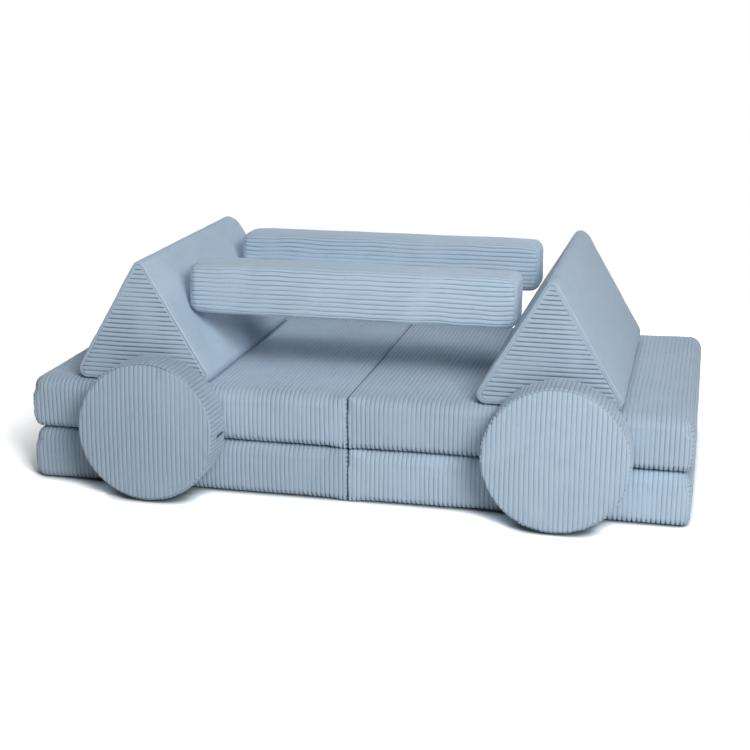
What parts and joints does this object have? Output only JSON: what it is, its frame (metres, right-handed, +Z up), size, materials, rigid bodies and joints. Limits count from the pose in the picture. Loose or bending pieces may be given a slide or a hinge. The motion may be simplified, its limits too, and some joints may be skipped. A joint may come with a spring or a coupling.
{
  "type": "modular play sofa",
  "caption": "Modular foam play sofa in corduroy covers, stacked as a toy car: folding mattresses, triangular wedges, cross bars and leaning discs for wheels.",
  "frame": {"origin": "middle of the footprint's bounding box, on the floor", "axes": "+X to the right along the mattresses seen from the front, +Y from the front with the discs to the back with the zips, +Z up"},
  "size_m": [1.6098, 0.9167, 0.5598],
  "materials": {
    "corduroy": "light steel-blue wide-wale corduroy, ribs about 11 mm apart",
    "foam": "off-white open-cell polyurethane foam, cut blocks",
    "zip_tape": "woven nylon zip tape with its coil, a shade darker than the cover",
    "zip_slider": "painted slider with a low bridge and no pull tab",
    "hinge_cloth": "doubled and sewn cover cloth"
  },
  "bodies": {
    "lower_left": {"lower_left_cover": "corduroy", "lower_left_core": "foam", "lower_left_zip": "zip_tape", "lower_hinge_strip": "hinge_cloth"},
    "lower_left_slider": {"lower_left_zip_slider": "zip_slider"},
    "lower_right": {"lower_right_cover": "corduroy", "lower_right_core": "foam", "lower_right_zip": "zip_tape"},
    "lower_right_slider": {"lower_right_zip_slider": "zip_slider"},
    "upper_left": {"upper_left_cover": "corduroy", "upper_left_core": "foam", "upper_left_zip": "zip_tape", "upper_hinge_strip": "hinge_cloth"},
    "upper_left_slider": {"upper_left_zip_slider": "zip_slider"},
    "upper_right": {"upper_right_cover": "corduroy", "upper_right_core": "foam", "upper_right_zip": "zip_tape"},
    "upper_right_slider": {"upper_right_zip_slider": "zip_slider"},
    "left_wedge": {"left_wedge_cover": "corduroy", "left_wedge_core": "foam", "left_wedge_zip": "zip_tape"},
    "left_wedge_slider": {"left_wedge_zip_slider": "zip_slider"},
    "right_wedge": {"right_wedge_cover": "corduroy", "right_wedge_core": "foam", "right_wedge_zip": "zip_tape"},
    "right_wedge_slider": {"right_wedge_zip_slider": "zip_slider"},
    "front_bar": {"front_bar_cover": "corduroy", "front_bar_core": "foam", "front_bar_zip": "zip_tape"},
    "front_bar_slider": {"front_bar_zip_slider": "zip_slider"},
    "back_bar": {"back_bar_cover": "corduroy", "back_bar_core": "foam", "back_bar_zip": "zip_tape"},
    "back_bar_slider": {"back_bar_zip_slider": "zip_slider"},
    "left_disc": {"left_disc_cover": "corduroy", "left_disc_core": "foam", "left_disc_zip": "zip_tape"},
    "left_disc_slider": {"left_disc_zip_slider": "zip_slider"},
    "right_disc": {"right_disc_cover": "corduroy", "right_disc_core": "foam", "right_disc_zip": "zip_tape"},
    "right_disc_slider": {"right_disc_zip_slider": "zip_slider"}
  },
  "joints": [
    {"name": "lower_fold", "type": "hinge", "parent": "lower_left", "child": "lower_right", "pos_m": [0, 0.05524, -0.0005], "axis": [0, 1, 0], "range_deg": [0, 180]},
    {"name": "upper_mattress_lift", "type": "slide", "parent": "lower_left", "child": "upper_left", "axis": [0, 0.0349, 0.9994], "range_m": [0, 0.3]},
    {"name": "upper_fold", "type": "hinge", "parent": "upper_left", "child": "upper_right", "pos_m": [0, 0.05524, 0.1298], "axis": [0, 1, 0], "range_deg": [0, 90]},
    {"name": "left_wedge_slide", "type": "slide", "parent": "upper_left", "child": "left_wedge", "axis": [-1, 0, 0], "range_m": [0, 0.12]},
    {"name": "right_wedge_slide", "type": "slide", "parent": "upper_right", "child": "right_wedge", "axis": [1, 0, 0], "range_m": [0, 0.12]},
    {"name": "front_bar_lift", "type": "slide", "parent": "upper_left", "child": "front_bar", "axis": [0, 0, 1], "range_m": [0, 0.25]},
    {"name": "back_bar_lift", "type": "slide", "parent": "upper_left", "child": "back_bar", "axis": [0, 0, 1], "range_m": [0, 0.25]},
    {"name": "left_disc_pull", "type": "slide", "parent": "lower_left", "child": "left_disc", "axis": [0, -1, 0], "range_m": [0, 0.3]},
    {"name": "right_disc_pull", "type": "slide", "parent": "lower_left", "child": "right_disc", "axis": [0, -1, 0], "range_m": [0, 0.3]},
    {"name": "lower_left_zip_run", "type": "slide", "parent": "lower_left", "child": "lower_left_slider", "axis": [-1, 0, 0], "range_m": [0, 0.584]},
    {"name": "upper_left_zip_run", "type": "slide", "parent": "upper_left", "child": "upper_left_slider", "axis": [-1, 0, 0], "range_m": [0, 0.584]},
    {"name": "lower_right_zip_run", "type": "slide", "parent": "lower_right", "child": "lower_right_slider", "axis": [1, 0, 0], "range_m": [0, 0.584]},
    {"name": "upper_right_zip_run", "type": "slide", "parent": "upper_right", "child": "upper_right_slider", "axis": [1, 0, 0], "range_m": [0, 0.584]},
    {"name": "left_wedge_zip_run", "type": "slide", "parent": "left_wedge", "child": "left_wedge_slider", "axis": [1, 0, 0], "range_m": [0, 0.142]},
    {"name": "right_wedge_zip_run", "type": "slide", "parent": "right_wedge", "child": "right_wedge_slider", "axis": [1, 0, 0], "range_m": [0, 0.142]},
    {"name": "front_bar_zip_run", "type": "slide", "parent": "front_bar", "child": "front_bar_slider", "axis": [1, 0, 0], "range_m": [0, 0.592]},
    {"name": "back_bar_zip_run", "type": "slide", "parent": "back_bar", "child": "back_bar_slider", "axis": [1, 0, 0], "range_m": [0, 0.592]},
    {"name": "left_disc_zip_run", "type": "hinge", "parent": "left_disc", "child": "left_disc_slider", "pos_m": [-0.465, -0.40162, 0.1704], "axis": [0, -0.9994, 0.0349], "range_deg": [0, 96]},
    {"name": "right_disc_zip_run", "type": "hinge", "parent": "right_disc", "child": "right_disc_slider", "pos_m": [0.5, -0.40162, 0.1704], "axis": [0, -0.9994, 0.0349], "range_deg": [0, 96]}
  ],
  "couplings": [
    {"joint": "upper_fold", "follows": "lower_fold", "ratio": 0.5}
  ]
}
